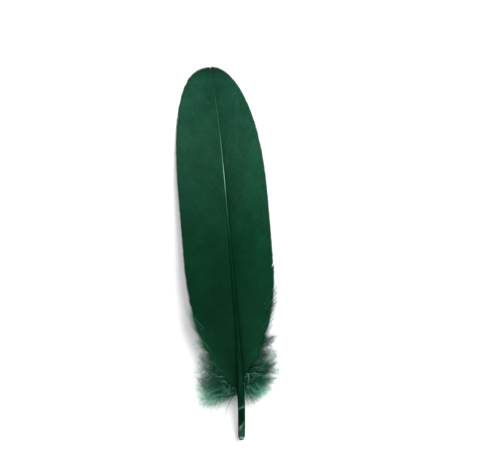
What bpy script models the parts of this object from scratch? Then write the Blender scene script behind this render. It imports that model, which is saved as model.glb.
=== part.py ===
"""A dyed goose feather lying on a table, outer side up.

The feather grew as one piece, so it is one solid: a round bare quill that
narrows into the shaft, a vane along each side of the shaft, and downy tufts
at the foot of the vanes. The shaft arches over the table and bows a little to
one side. The vanes are swept rib by rib along the shaft, each rib following
a pair of barbs from the shaft to the margins, and every few ribs form one
lock of barbs with a shallow step to the next lock.

Y runs from the quill to the tip, X across the feather and Z up. The origin
lies on the table, under the middle of the feather's bounding box.
"""

import math
import random

import bmesh
import bpy
from mathutils import Vector

MM = 0.001

# The whole feather
LENGTH = 180.0 * MM
SIDE_BOW = 2.45 * MM
BOW_POWER = 4.0
ARCH_HEIGHT = 10.0 * MM
ARCH_SKEW = 1.3
LANDING = 0.93
TIP_REST = 0.12 * MM
QUILL_SINK = 0.12 * MM

# The quill and the shaft: share of the length, then width
SHAFT_WIDTHS = (
    (0.000, 1.9 * MM),
    (0.007, 2.8 * MM),
    (0.030, 3.4 * MM),
    (0.120, 3.6 * MM),
    (0.180, 2.7 * MM),
    (0.260, 1.8 * MM),
    (0.420, 1.25 * MM),
    (0.750, 0.80 * MM),
    (0.930, 0.50 * MM),
    (1.000, 0.36 * MM),
)
# The bare quill is round; along the vanes the shaft is low above and deep below
SHAFT_RISE = 0.85
SHAFT_DROP = 1.30
ROUND_UNTIL = 0.12
RIDGE_FROM = 0.24
GROOVE_SHARE = 0.45
SHAFT_ARC_STEPS = 6

# The vanes
LEFT, RIGHT = -1, 1
HALF_WIDTH = {LEFT: 23.0 * MM, RIGHT: 20.2 * MM}
VANE_START = {LEFT: 0.128, RIGHT: 0.156}
VANE_FULL = {LEFT: 0.485, RIGHT: 0.478}
FOOT_POWER = {LEFT: 2.9, RIGHT: 2.6}
TIP_ROUND_START = 0.64
TIP_ROUND_POWER = {LEFT: 2.5, RIGHT: 2.2}
VANE_END = 0.984
CAMBER = 4.2 * MM
CAMBER_FADE_START, CAMBER_FADE_END = 0.50, 0.90
ROOT_LIFT = 0.35 * MM
ROOT_THICKNESS = 0.75 * MM
MARGIN_THICKNESS = 0.40 * MM
ROOT_SHARE_OF_SHAFT = 0.8

# The barbs leave the shaft at an angle that closes towards the tip,
# and each then bends forward along an arc
BARB_ANGLE_FOOT = math.radians(54.0)
BARB_ANGLE_MIDDLE = math.radians(44.0)
BARB_ANGLE_TIP = math.radians(7.0)
BARB_TURN = math.radians(15.0)
BARB_TURN_LENGTH = 30.0 * MM
BARB_STEPS = 6

# Locks of barbs
LOCKS = 28
RIBS_PER_LOCK = 3
LOCK_RELIEF = (0.16 * MM, 0.04 * MM, -0.12 * MM)
LOCK_REACH = (1.0, 0.997, 0.984)
# Where a lock has parted from the next: lock number, reach of the gap
SPLITS = {LEFT: {4: 0.96, 17: 0.96}, RIGHT: {6: 0.95, 21: 0.96}}

QUILL_RINGS = 12

# The down: tufts that leave the shaft's flanks below the vanes
TUFTS_PER_SIDE = 12
TUFT_FIRST = {LEFT: 0.133, RIGHT: 0.152}
TUFT_LAST = 0.270
TUFT_HEADING_FIRST = {LEFT: math.radians(116.0), RIGHT: math.radians(130.0)}
TUFT_HEADING_LAST = math.radians(66.0)
TUFT_LENGTHS = {LEFT: (22.0 * MM, 21.0 * MM), RIGHT: (17.0 * MM, 20.5 * MM)}
TUFT_WIDTH, TUFT_DEPTH = 4.4 * MM, 2.2 * MM
TUFT_CURL = math.radians(-46.0)
TUFT_SIDES, TUFT_STEPS = 6, 5
TUFT_CLEAR = 0.9 * MM
TUFT_TIP_SHARE = 0.16
TUFT_SEED = 9

DYED_GREEN = (0.007, 0.062, 0.030, 1.0)
KERATIN_ROUGHNESS = 0.5
MERGE = 1e-6


def smooth_step(share):
    """0 below 0, 1 above 1 and an even S between."""
    share = min(1.0, max(0.0, share))
    return share * share * (3.0 - 2.0 * share)


def shaft_width(t):
    """The shaft's width at a share t of the length, from SHAFT_WIDTHS."""
    for (t0, w0), (t1, w1) in zip(SHAFT_WIDTHS, SHAFT_WIDTHS[1:]):
        if t <= t1:
            return w0 + (w1 - w0) * (t - t0) / (t1 - t0)
    return SHAFT_WIDTHS[-1][1]


def shaft_side(t):
    """How far the shaft bows to the right of the straight line between its ends."""
    return SIDE_BOW * (1.0 - abs(2.0 * t - 1.0) ** BOW_POWER)


def shaft_height(t):
    """The height of the shaft's centre: an arch that lands flat before the tip."""
    foot = 0.5 * shaft_width(0.03) - QUILL_SINK
    share = min(1.0, t / LANDING)
    bend = share**ARCH_SKEW
    arch = 6.75 * ARCH_HEIGHT * bend * (1.0 - bend) ** 2
    return arch + foot * (1.0 - share) ** 2 + TIP_REST * share


def half_width(side, t):
    """The vane's width from the shaft's centre to the margin."""
    if t <= VANE_START[side] or t >= 1.0:
        return 0.0
    rise = min(1.0, (t - VANE_START[side]) / (VANE_FULL[side] - VANE_START[side]))
    width = HALF_WIDTH[side] * (1.0 - (1.0 - rise) ** FOOT_POWER[side])
    if t > TIP_ROUND_START:
        share = (t - TIP_ROUND_START) / (1.0 - TIP_ROUND_START)
        power = TIP_ROUND_POWER[side]
        width *= (1.0 - share**power) ** (1.0 / power)
    return width


def barb_angle(t):
    """The angle between the shaft and a barb, where the barb leaves it."""
    if t < 0.5:
        share = smooth_step(t / 0.5)
        return BARB_ANGLE_FOOT + (BARB_ANGLE_MIDDLE - BARB_ANGLE_FOOT) * share
    share = ((t - 0.5) / 0.5) ** 1.6
    return BARB_ANGLE_MIDDLE + (BARB_ANGLE_TIP - BARB_ANGLE_MIDDLE) * share


def barb_point(root, run):
    """(distance out of the shaft, place along it) after a run along a barb's arc."""
    angle = barb_angle(root / LENGTH)
    radius = BARB_TURN_LENGTH / BARB_TURN
    turned = angle - run / radius
    out = radius * (math.cos(turned) - math.cos(angle))
    along = root + radius * (math.sin(angle) - math.sin(turned))
    return 0.5 * shaft_width(root / LENGTH) + out, along


def barb_run(side, root):
    """The length of a barb: from the shaft's flank to where its arc meets the margin."""
    # A barb is at its furthest out where its arc runs along the shaft.
    parallel = barb_angle(root / LENGTH) * BARB_TURN_LENGTH / BARB_TURN
    shortest, longest = 0.0, min(3.0 * HALF_WIDTH[LEFT], parallel)
    for _ in range(40):
        middle = 0.5 * (shortest + longest)
        out, along = barb_point(root, middle)
        if out < half_width(side, along / LENGTH):
            shortest = middle
        else:
            longest = middle
    return shortest if shortest > MERGE else 0.0


def vane_height(out, along):
    """The height of the middle of the vane, at a distance out from the shaft."""
    t = min(1.0, along / LENGTH)
    share = out / HALF_WIDTH[LEFT]
    fade = smooth_step((t - CAMBER_FADE_START) / (CAMBER_FADE_END - CAMBER_FADE_START))
    lift = ROOT_LIFT * math.sin(math.pi * min(1.0, 2.5 * share))
    return shaft_height(t) + (lift - CAMBER * share * share) * (1.0 - fade)


def vane_chain(side, rib, root):
    """The upper and the lower points of one rib of a vane, from the shaft outwards."""
    lock, place = divmod(rib, RIBS_PER_LOCK)
    reach = LOCK_REACH[place]
    if place == RIBS_PER_LOCK - 1:
        reach = SPLITS[side].get(lock, reach)
    run = barb_run(side, root) * reach
    grown = smooth_step(run / (4.0 * MM))
    at_root = min(ROOT_THICKNESS, 0.5 * ROOT_SHARE_OF_SHAFT * shaft_width(root / LENGTH))
    upper, lower = [], []
    for step in range(BARB_STEPS + 1):
        share = step / BARB_STEPS
        out, along = barb_point(root, run * share)
        thickness = (at_root + (MARGIN_THICKNESS - at_root) * share) * grown
        relief = LOCK_RELIEF[place] * math.sqrt(share) * grown
        height = vane_height(out - 0.5 * shaft_width(root / LENGTH), along)
        x = shaft_side(min(1.0, along / LENGTH)) + side * out
        low = max(0.0, height - 0.5 * thickness)
        upper.append(Vector((x, along, low + thickness + relief)))
        lower.append(Vector((x, along, low)))
    return upper, lower


def shaft_arc(root, upper):
    """The points of the shaft's rounded upper or grooved lower side, left to right."""
    t = root / LENGTH
    half = 0.5 * shaft_width(t)
    ridge = smooth_step((t - ROUND_UNTIL) / (RIDGE_FROM - ROUND_UNTIL))
    ratio = 1.0 + ((SHAFT_RISE if upper else SHAFT_DROP) - 1.0) * ridge
    points = []
    for step in range(1, SHAFT_ARC_STEPS):
        turn = math.pi * step / SHAFT_ARC_STEPS
        rise = half * ratio * math.sin(turn)
        if not upper:
            in_groove = 2 * step == SHAFT_ARC_STEPS
            rise *= -(1.0 - GROOVE_SHARE * ridge) if in_groove else -1.0
        height = max(0.0, shaft_height(t) + rise)
        points.append(Vector((shaft_side(t) - half * math.cos(turn), root, height)))
    return points


def rib_ring(rib, root):
    """One closed ring round the feather: over the vanes and the shaft, and back under."""
    left_upper, left_lower = vane_chain(LEFT, rib, root)
    right_upper, right_lower = vane_chain(RIGHT, rib, root)
    over = left_upper[::-1] + shaft_arc(root, upper=True) + right_upper
    under = left_lower[::-1] + shaft_arc(root, upper=False) + right_lower
    return over, under


def swept_body():
    """The quill, the shaft and both vanes as one closed mesh."""
    first_rib = VANE_START[LEFT] * LENGTH
    ribs = LOCKS * RIBS_PER_LOCK
    step = (VANE_END * LENGTH - first_rib) / (ribs - 1)
    roots = [(0, first_rib * (i / QUILL_RINGS) ** 1.6) for i in range(QUILL_RINGS)]
    roots += [(rib, first_rib + rib * step) for rib in range(ribs)]
    outlines = [rib_ring(rib, root) for rib, root in roots]
    tip = Vector((0.0, LENGTH, 0.0))
    over, under = outlines[-1]
    outlines.append(([tip + Vector((0.0, 0.0, MARGIN_THICKNESS))] * len(over), [tip] * len(under)))
    body = bmesh.new()
    rings = []
    for over, under in outlines:
        rings.append([body.verts.new(point) for point in over + under[::-1]])
    for near, far in zip(rings, rings[1:]):
        for i in range(len(near)):
            j = (i + 1) % len(near)
            body.faces.new((near[i], near[j], far[j], far[i]))
    body.faces.new(rings[0][::-1])
    bmesh.ops.remove_doubles(body, verts=body.verts, dist=MERGE)
    bmesh.ops.triangulate(body, faces=body.faces)
    bmesh.ops.recalc_face_normals(body, faces=body.faces)
    return body


def tuft_path(side, t, heading, length, curl):
    """The centre line of one tuft: back out of the shaft, curling forward and sinking."""
    point = Vector((shaft_side(t), t * LENGTH, shaft_height(t) - 0.2 * shaft_width(t)))
    start_height = point.z
    path = [point.copy()]
    for step in range(TUFT_STEPS):
        share = (step + 0.5) / TUFT_STEPS
        way = heading + curl * share
        stride = length / TUFT_STEPS
        point = point + Vector((side * math.sin(way), math.cos(way), 0.0)) * stride
        sunk = smooth_step((step + 1) / TUFT_STEPS)
        point.z = start_height + (TUFT_CLEAR - start_height) * sunk
        path.append(point.copy())
    return path


def tuft_mesh(body, path, width, depth):
    """Adds one closed tuft along a path: oval rings, widest near the middle, to a point."""
    rings = []
    for step, point in enumerate(path[:-1]):
        share = step / (len(path) - 1)
        swell = math.sin(math.pi * (0.22 + 0.70 * share)) + TUFT_TIP_SHARE * share
        ahead = path[step + 1] - point
        across = Vector((ahead.y, -ahead.x, 0.0)).normalized()
        ring = []
        for side in range(TUFT_SIDES):
            turn = 2.0 * math.pi * side / TUFT_SIDES
            offset = across * (0.5 * width * swell * math.cos(turn))
            offset.z = 0.5 * depth * swell * math.sin(turn)
            ring.append(body.verts.new(point + offset))
        rings.append(ring)
    for near, far in zip(rings, rings[1:]):
        for i in range(TUFT_SIDES):
            j = (i + 1) % TUFT_SIDES
            body.faces.new((near[i], near[j], far[j], far[i]))
    body.faces.new(rings[0][::-1])
    tip = body.verts.new(path[-1])
    for i in range(TUFT_SIDES):
        body.faces.new((rings[-1][i], rings[-1][(i + 1) % TUFT_SIDES], tip))


def tuft_meshes():
    """Every tuft of down, each a closed mesh of its own."""
    draw = random.Random(TUFT_SEED)
    meshes = []
    for side in (LEFT, RIGHT):
        for number in range(TUFTS_PER_SIDE):
            share = number / (TUFTS_PER_SIDE - 1)
            t = TUFT_FIRST[side] + (TUFT_LAST - TUFT_FIRST[side]) * share
            start = TUFT_HEADING_FIRST[side]
            heading = start + (TUFT_HEADING_LAST - start) * share
            heading += math.radians(draw.uniform(-6.0, 6.0))
            first, last = TUFT_LENGTHS[side]
            length = (first + (last - first) * share) * draw.uniform(0.92, 1.08)
            curl = TUFT_CURL * draw.uniform(0.5, 1.2)
            body = bmesh.new()
            path = tuft_path(side, t, heading, length, curl)
            tuft_mesh(body, path, TUFT_WIDTH * draw.uniform(0.85, 1.15), TUFT_DEPTH)
            bmesh.ops.triangulate(body, faces=body.faces)
            bmesh.ops.recalc_face_normals(body, faces=body.faces)
            meshes.append(body)
    return meshes


def object_from(body, name):
    """A scene object from a bmesh."""
    mesh = bpy.data.meshes.new(name)
    body.to_mesh(mesh)
    body.free()
    made = bpy.data.objects.new(name, mesh)
    bpy.context.scene.collection.objects.link(made)
    return made


def dyed_keratin():
    """Feather keratin dyed deep green."""
    material = bpy.data.materials.new("dyed_keratin")
    material.use_nodes = True
    shader = material.node_tree.nodes["Principled BSDF"]
    shader.inputs["Base Color"].default_value = DYED_GREEN
    shader.inputs["Roughness"].default_value = KERATIN_ROUGHNESS
    shader.inputs["Metallic"].default_value = 0.0
    return material


def join_tufts(feather):
    """Joins the tufts to the feather with one Boolean union."""
    tufts = bpy.data.collections.new("tufts")
    bpy.context.scene.collection.children.link(tufts)
    for number, body in enumerate(tuft_meshes(), start=1):
        tuft = object_from(body, f"tuft_{number:02d}")
        bpy.context.scene.collection.objects.unlink(tuft)
        tufts.objects.link(tuft)
        tuft.hide_render = True
        tuft.display_type = "WIRE"
    union = feather.modifiers.new("down", "BOOLEAN")
    union.operation = "UNION"
    union.operand_type = "COLLECTION"
    union.collection = tufts
    union.solver = "EXACT"


def centre_on_origin(objects):
    """Moves the objects so that the feather's box is centred over the origin."""
    bpy.context.view_layer.update()
    feather = objects[0]
    graph = bpy.context.evaluated_depsgraph_get()
    corners = [v.co for v in feather.evaluated_get(graph).to_mesh().vertices]
    middle = Vector((0.0, 0.0, 0.0))
    for axis in (0, 1):
        places = [corner[axis] for corner in corners]
        middle[axis] = 0.5 * (min(places) + max(places))
    for item in objects:
        for vertex in item.data.vertices:
            vertex.co -= middle


def main():
    """Builds the feather."""
    for item in list(bpy.data.objects):
        bpy.data.objects.remove(item)
    feather = object_from(swept_body(), "feather")
    feather.data.materials.append(dyed_keratin())
    join_tufts(feather)
    tufts = list(bpy.data.collections["tufts"].objects)
    centre_on_origin([feather, *tufts])
    feather.data.shade_smooth()
    feather.data.set_sharp_from_angle(angle=math.radians(40.0))


main()
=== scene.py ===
"""The looks of a dyed goose feather that lies outer side up on a pale table.

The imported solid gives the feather's place and size. Here its shaft, the barbs
of both vanes and the down at their foot are made as fine meshes that follow
the same curves, from the same driving sizes, and take the solid's place.
Y runs from the quill's end to the tip, X across the feather and Z up.
"""

import logging
import math
from dataclasses import dataclass
from enum import Enum
from typing import Any

import bpy
import numpy as np
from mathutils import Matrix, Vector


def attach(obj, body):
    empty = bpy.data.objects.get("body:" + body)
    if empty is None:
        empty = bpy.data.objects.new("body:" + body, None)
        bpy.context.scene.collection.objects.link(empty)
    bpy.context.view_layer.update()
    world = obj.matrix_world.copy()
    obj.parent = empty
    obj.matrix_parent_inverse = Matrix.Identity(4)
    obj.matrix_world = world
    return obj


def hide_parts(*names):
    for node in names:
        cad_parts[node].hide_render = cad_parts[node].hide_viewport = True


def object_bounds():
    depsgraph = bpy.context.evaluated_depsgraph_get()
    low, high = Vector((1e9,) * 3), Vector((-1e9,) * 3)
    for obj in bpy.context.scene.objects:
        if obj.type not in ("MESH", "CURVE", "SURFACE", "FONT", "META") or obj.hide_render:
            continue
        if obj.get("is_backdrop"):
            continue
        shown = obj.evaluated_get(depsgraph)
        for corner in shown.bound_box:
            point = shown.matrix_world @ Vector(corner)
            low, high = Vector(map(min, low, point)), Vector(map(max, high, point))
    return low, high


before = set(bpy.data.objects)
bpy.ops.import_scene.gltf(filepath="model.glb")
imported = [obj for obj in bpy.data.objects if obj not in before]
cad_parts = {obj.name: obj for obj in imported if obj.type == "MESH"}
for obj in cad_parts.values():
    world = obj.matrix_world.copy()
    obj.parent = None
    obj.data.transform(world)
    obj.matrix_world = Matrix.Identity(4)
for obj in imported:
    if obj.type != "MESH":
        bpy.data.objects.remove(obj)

CAD_LOW, CAD_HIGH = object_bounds()

MM = 0.001
NODE = "feather"
BODY = "root"

Array = np.ndarray
Colour = tuple[float, float, float, float]
Pair = tuple[float, float]
Stops = tuple[tuple[float, str], ...]
log = logging.getLogger("feather")


class Side(Enum):
    """The two sides of the shaft; the value is the sign of X."""

    LEFT = -1
    RIGHT = 1


class Slot(Enum):
    """The record's material slots."""

    VANE = "vane"
    QUILL = "quill"
    DOWN = "down"


def linear(code: str) -> Colour:
    """Turns an sRGB hex colour to linear.

    Args:
        code: the colour as "#rrggbb".

    Returns:
        Linear red, green and blue, and an alpha of 1.
    """
    channels = [int(code[i : i + 2], 16) / 255.0 for i in (1, 3, 5)]
    low = [c / 12.92 if c <= 0.04045 else ((c + 0.055) / 1.055) ** 2.4 for c in channels]
    return (low[0], low[1], low[2], 1.0)


def smooth(share: Array) -> Array:
    """An even S from 0 to 1, flat outside that range."""
    share = np.clip(share, 0.0, 1.0)
    return share * share * (3.0 - 2.0 * share)


def unit(vectors: Array) -> Array:
    """The same vectors at length 1."""
    return vectors / np.maximum(np.linalg.norm(vectors, axis=-1, keepdims=True), 1e-12)


def drift(count: int, knot: float, draw: np.random.Generator) -> Array:
    """A random line that wanders smoothly.

    Args:
        count: how many values it has.
        knot: how many values lie between two random turning points.
        draw: the random source.

    Returns:
        Values from -1 to 1.
    """
    turns = draw.uniform(-1.0, 1.0, int(count / knot) + 3)
    place = np.arange(count) / knot
    near = place.astype(int)
    blend = smooth(place - near)
    return turns[near] * (1.0 - blend) + turns[near + 1] * blend


@dataclass(frozen=True)
class FeatherForm:
    """The feather's driving sizes and the curves that all its pieces follow.

    A share is a part of the feather's length, from the quill's end, and a pair
    holds the left vane's value and the right one's where no other order is given.

    Attributes:
        bow_power: how flat the shaft's bow to the right is.
        arch_skew: how far the top of the arch lies past a third of the length.
        landing: the share at which the shaft has come down flat.
        shaft_widths: in mm, at shaft_shares.
        ease_stations, ease_window: how finely those are taken, and over how many eased.
        vane_starts, vane_fulls, foot_powers: where a vane starts and is widest, and how
            quickly it widens.
        tip_round_powers: how full the tip's rounding is.
        camber, camber_fade: a vane's droop to its margin, and where that goes.
        root_lift, root_lift_rate: how far a vane rises first, and how soon it is down.
        barb_angles: a barb's angle to the shaft at the foot, the middle and the tip.
        barb_turn_power: how late that angle narrows above the middle.
        halvings: how often the search for a barb's end halves its range.
        shaft_gap: the room between the shaft's flank and what lies beside it.
    """

    quill_x: float
    quill_y: float
    length: float = 180.0 * MM
    side_bow: float = 2.45 * MM
    bow_power: float = 4.0
    arch_height: float = 10.0 * MM
    arch_skew: float = 1.3
    landing: float = 0.93
    tip_rest: float = 0.12 * MM
    quill_sink: float = 0.12 * MM
    shaft_shares: tuple[float, ...] = (0.0, 0.03, 0.12, 0.18, 0.26, 0.42, 0.75, 0.93, 1.0)
    shaft_widths: tuple[float, ...] = (3.15, 3.4, 3.6, 2.7, 1.8, 1.25, 0.80, 0.50, 0.36)
    ease_stations: int = 1001
    ease_window: int = 41
    vane_widths: Pair = (23.0 * MM, 20.2 * MM)
    vane_starts: Pair = (0.128, 0.156)
    vane_fulls: Pair = (0.485, 0.478)
    foot_powers: Pair = (2.9, 2.6)
    tip_round_start: float = 0.64
    tip_round_powers: Pair = (2.5, 2.2)
    camber: float = 4.2 * MM
    camber_fade: Pair = (0.50, 0.90)
    root_lift: float = 0.35 * MM
    root_lift_rate: float = 2.5
    barb_angles: tuple[float, float, float] = (54.0, 44.0, 7.0)
    barb_angle_middle: float = 0.5
    barb_turn_power: float = 1.6
    barb_bend_radius: float = 30.0 * MM / math.radians(15.0)
    halvings: int = 40
    shaft_gap: float = 0.05 * MM

    def of_side(self, pair: Pair, side: Side) -> float:
        """The left or the right one of two values."""
        return pair[0] if side is Side.LEFT else pair[1]

    def shaft_width(self, t: Array) -> Array:
        """The shaft's width, eased over its stations.

        Args:
            t: shares of the length.

        Returns:
            The width at each.
        """
        fine = np.linspace(0.0, 1.0, self.ease_stations)
        widths = np.interp(fine, self.shaft_shares, self.shaft_widths) * MM
        padded = np.pad(widths, self.ease_window // 2, mode="edge")
        eased = np.convolve(padded, np.ones(self.ease_window) / self.ease_window, mode="valid")
        return np.interp(t, fine, eased)

    def shaft_side(self, t: Array) -> Array:
        """How far the shaft bows to the right of the line between its ends."""
        t = np.clip(t, 0.0, 1.0)
        return self.side_bow * (1.0 - np.abs(2.0 * t - 1.0) ** self.bow_power)

    def shaft_height(self, t: Array) -> Array:
        """The arch of the shaft, which lands flat before the tip.

        Args:
            t: shares of the length.

        Returns:
            The height of the shaft's centre at each.
        """
        foot = 0.5 * self.shaft_widths[1] * MM - self.quill_sink
        share = np.clip(t / self.landing, 0.0, 1.0)
        bend = share**self.arch_skew
        # bend * (1 - bend) ** 2 is highest at a third, where it is 4 / 27.
        arch = 27.0 / 4.0 * self.arch_height * bend * (1.0 - bend) ** 2
        return arch + foot * (1.0 - share) ** 2 + self.tip_rest * share

    def half_width(self, side: Side, t: Array) -> Array:
        """The vane's outline.

        Args:
            side: the side of the shaft.
            t: shares of the length.

        Returns:
            The distance from the shaft's centre to the margin at each.
        """
        start = self.of_side(self.vane_starts, side)
        full = self.of_side(self.vane_fulls, side)
        rise = np.clip((t - start) / (full - start), 0.0, 1.0)
        width = 1.0 - (1.0 - rise) ** self.of_side(self.foot_powers, side)
        share = np.clip((t - self.tip_round_start) / (1.0 - self.tip_round_start), 0.0, 1.0)
        power = self.of_side(self.tip_round_powers, side)
        width = width * (1.0 - share**power) ** (1.0 / power)
        return self.of_side(self.vane_widths, side) * width

    def barb_angle(self, t: Array) -> Array:
        """The angle at which a barb leaves the shaft.

        Args:
            t: shares of the length.

        Returns:
            The angle between the shaft and the barb at each, in radians.
        """
        foot, middle, tip = (math.radians(a) for a in self.barb_angles)
        turn = self.barb_angle_middle
        past = np.clip((t - turn) / (1.0 - turn), 0.0, 1.0)
        low = foot + (middle - foot) * smooth(t / turn)
        high = middle + (tip - middle) * past**self.barb_turn_power
        return np.where(t < turn, low, high)

    def barb_arc(self, root: Array, run: Array) -> tuple[Array, Array]:
        """Follows barbs along their arcs.

        Args:
            root: where each barb leaves the shaft, from the quill's end.
            run: the distance along the barb.

        Returns:
            The distance out of the shaft's centre and the place along the feather.
        """
        angle = self.barb_angle(root / self.length)
        turned = angle - run / self.barb_bend_radius
        out = self.barb_bend_radius * (np.cos(turned) - np.cos(angle))
        along = root + self.barb_bend_radius * (np.sin(angle) - np.sin(turned))
        return 0.5 * self.shaft_width(root / self.length) + out, along

    def barb_run(self, side: Side, root: Array) -> Array:
        """Searches for the place where each barb meets the margin.

        Args:
            side: the side of the shaft.
            root: where each barb leaves the shaft, from the quill's end.

        Returns:
            The length of each barb, from the shaft's flank to the vane's margin.
        """
        shortest = np.zeros_like(root)
        # No barb is as long as three widths, and its arc is furthest out where it runs
        # along the shaft.
        longest = np.minimum(
            3.0 * max(self.vane_widths), self.barb_angle(root / self.length) * self.barb_bend_radius
        )
        for _ in range(self.halvings):
            middle = 0.5 * (shortest + longest)
            out, along = self.barb_arc(root, middle)
            inside = out < self.half_width(side, along / self.length)
            shortest = np.where(inside, middle, shortest)
            longest = np.where(inside, longest, middle)
        return shortest

    def vane_height(self, out: Array, along: Array) -> Array:
        """The camber of a vane.

        Args:
            out: the distance out from the shaft's flank.
            along: the place along the feather.

        Returns:
            The height of the middle of the vane.
        """
        t = np.clip(along / self.length, 0.0, 1.0)
        share = out / self.vane_widths[0]
        first, last = self.camber_fade
        fade = smooth((t - first) / (last - first))
        lift = self.root_lift * np.sin(np.pi * np.clip(self.root_lift_rate * share, 0.0, 1.0))
        return self.shaft_height(t) + (lift - self.camber * share * share) * (1.0 - fade)

    def under_vane(self, side: Side, points: Array, gap: float, low: float) -> Array:
        """Moves points down to clear the vane above them, and out of the shaft.

        Args:
            side: the side of the shaft that the points lie on.
            points: points in the row frame.
            gap: the room left below the vane.
            low: the least height above the table.

        Returns:
            The moved points.
        """
        along = points[..., 1] - self.quill_y
        t = along / self.length
        middle = self.quill_x + self.shaft_side(t)
        flank = 0.5 * self.shaft_width(t)
        out = side.value * (points[..., 0] - middle)
        covered = out < self.half_width(side, t)
        roof = self.vane_height(np.maximum(out - flank, 0.0), along) - gap
        height = np.where(covered, np.minimum(points[..., 2], roof), points[..., 2])
        out = np.where(covered, out, np.maximum(out, flank + self.shaft_gap))
        x = middle + side.value * out
        return np.stack([x, points[..., 1], np.maximum(height, low)], axis=-1)

    def place(self, side: Side, out: Array, along: Array, height: Array) -> Array:
        """Turns places on the feather to points in the row frame.

        Args:
            side: the side of the shaft.
            out: the distance out from the shaft's centre.
            along: the distance from the quill's end.
            height: the height above the table.

        Returns:
            The points.
        """
        t = along / self.length
        x = self.quill_x + self.shaft_side(t) + side.value * out
        return np.stack(np.broadcast_arrays(x, self.quill_y + along, height), axis=-1)


def form_from_frame() -> FeatherForm:
    """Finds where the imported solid's quill ends.

    Returns:
        The feather's form, set there.
    """
    corners = np.array([v.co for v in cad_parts[NODE].data.vertices])
    low = corners[:, 1].min()
    flat = 0.01 * MM
    end = corners[corners[:, 1] < low + flat]
    return FeatherForm(quill_x=float(end[:, 0].mean()), quill_y=float(low))


class MeshBuilder:
    """Collects closed tubes and joins them in one mesh.

    Each tube has its own cell of the bake map. Its walls span WALL_RUN by
    WALL_TURN of the cell, and its two end caps are the points at CAP_RUN.
    """

    WALL_RUN: Pair = (0.04, 0.96)
    WALL_TURN: Pair = (0.06, 0.94)
    CAP_RUN: Pair = (0.02, 0.98)

    def __init__(self, cells_wide: int, cells_high: int) -> None:
        """Starts an empty mesh whose bake map has this many cells.

        Args:
            cells_wide: cells across the map, one tube in each.
            cells_high: cells up the map.
        """
        self.cells_wide = cells_wide
        self.cells_high = cells_high
        self.cells_used = 0
        self.points: list[Array] = []
        self.facts: list[Array] = []
        self.corners: list[Array] = []
        self.counts: list[Array] = []
        self.maps: list[Array] = []
        self.size = 0

    def add_tubes(self, rings: Array, facts: Array) -> None:
        """Adds tubes of the same number of rings.

        Args:
            rings: the points, by tube, ring, corner of the ring and X, Y, Z.
            facts: three numbers for each ring, or each corner, that the materials read.
        """
        tubes, steps, sides, _ = rings.shape
        index = self.size + np.arange(tubes * steps * sides).reshape(tubes, steps, sides)
        after = np.roll(index, -1, axis=2)
        walls = np.stack([index[:, :-1], after[:, :-1], after[:, 1:], index[:, 1:]], axis=-1)
        self.points.append(rings.reshape(-1, 3))
        per_corner = facts if facts.ndim == 4 else facts[:, :, None, :]
        self.facts.append(np.broadcast_to(per_corner, rings.shape).reshape(-1, 3))
        self.corners.append(walls.reshape(-1))
        self.counts.append(np.full(walls.size // 4, 4))
        cell = self.cells_used + np.arange(tubes)
        left = (cell % self.cells_wide).astype(float)
        foot = (cell // self.cells_wide).astype(float)
        run = np.linspace(*self.WALL_RUN, steps)
        turn = np.linspace(*self.WALL_TURN, sides + 1)
        u = np.stack([run[:-1], run[:-1], run[1:], run[1:]], axis=-1)[None, :, None, :]
        v = np.stack([turn[:-1], turn[1:], turn[1:], turn[:-1]], axis=-1)[None, None, :, :]
        u = (left[:, None, None, None] + u) / self.cells_wide
        v = (foot[:, None, None, None] + v) / self.cells_high
        shape = (tubes, steps - 1, sides, 4)
        flat = [np.broadcast_to(u, shape), np.broadcast_to(v, shape)]
        self.maps.append(np.stack(flat, axis=-1).reshape(-1, 2))
        for ring, order, edge in zip((0, steps - 1), (-1, 1), self.CAP_RUN):
            caps = index[:, ring, ::order]
            self.corners.append(caps.reshape(-1))
            self.counts.append(np.full(tubes, sides))
            middle = np.stack([(left + edge) / self.cells_wide, (foot + 0.5) / self.cells_high], -1)
            self.maps.append(np.repeat(middle, sides, axis=0))
        self.cells_used += tubes
        self.size += rings.size // 3

    def build(self, name: str) -> bpy.types.Object:
        """Makes the scene object of everything added so far.

        Args:
            name: the piece's name.

        Returns:
            The new object, shaded smooth.
        """
        points = np.concatenate(self.points).astype(np.float32)
        corners = np.concatenate(self.corners).astype(np.int32)
        counts = np.concatenate(self.counts).astype(np.int32)
        mesh = bpy.data.meshes.new(name)
        mesh.vertices.add(len(points))
        mesh.vertices.foreach_set("co", points.ravel())
        mesh.loops.add(len(corners))
        mesh.loops.foreach_set("vertex_index", corners)
        mesh.polygons.add(len(counts))
        mesh.polygons.foreach_set("loop_start", np.cumsum(counts) - counts)
        mesh.update(calc_edges=True)
        facts = mesh.attributes.new("facts", "FLOAT_VECTOR", "POINT")
        facts.data.foreach_set("vector", np.concatenate(self.facts).astype(np.float32).ravel())
        bake = mesh.uv_layers.new(name="OFBake")
        bake.uv.foreach_set("vector", np.concatenate(self.maps).astype(np.float32).ravel())
        mesh.validate()
        mesh.shade_smooth()
        made = bpy.data.objects.new(name, mesh)
        bpy.context.scene.collection.objects.link(made)
        return made


def seat(piece: bpy.types.Object, material: bpy.types.Material) -> None:
    """Gives a piece its material and its place in the frame.

    Args:
        piece: the new piece.
        material: the finish.
    """
    piece.data.materials.append(material)
    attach(piece, BODY)
    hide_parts(NODE)
    log.info("%s: %d faces", piece.name, len(piece.data.polygons))


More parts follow.
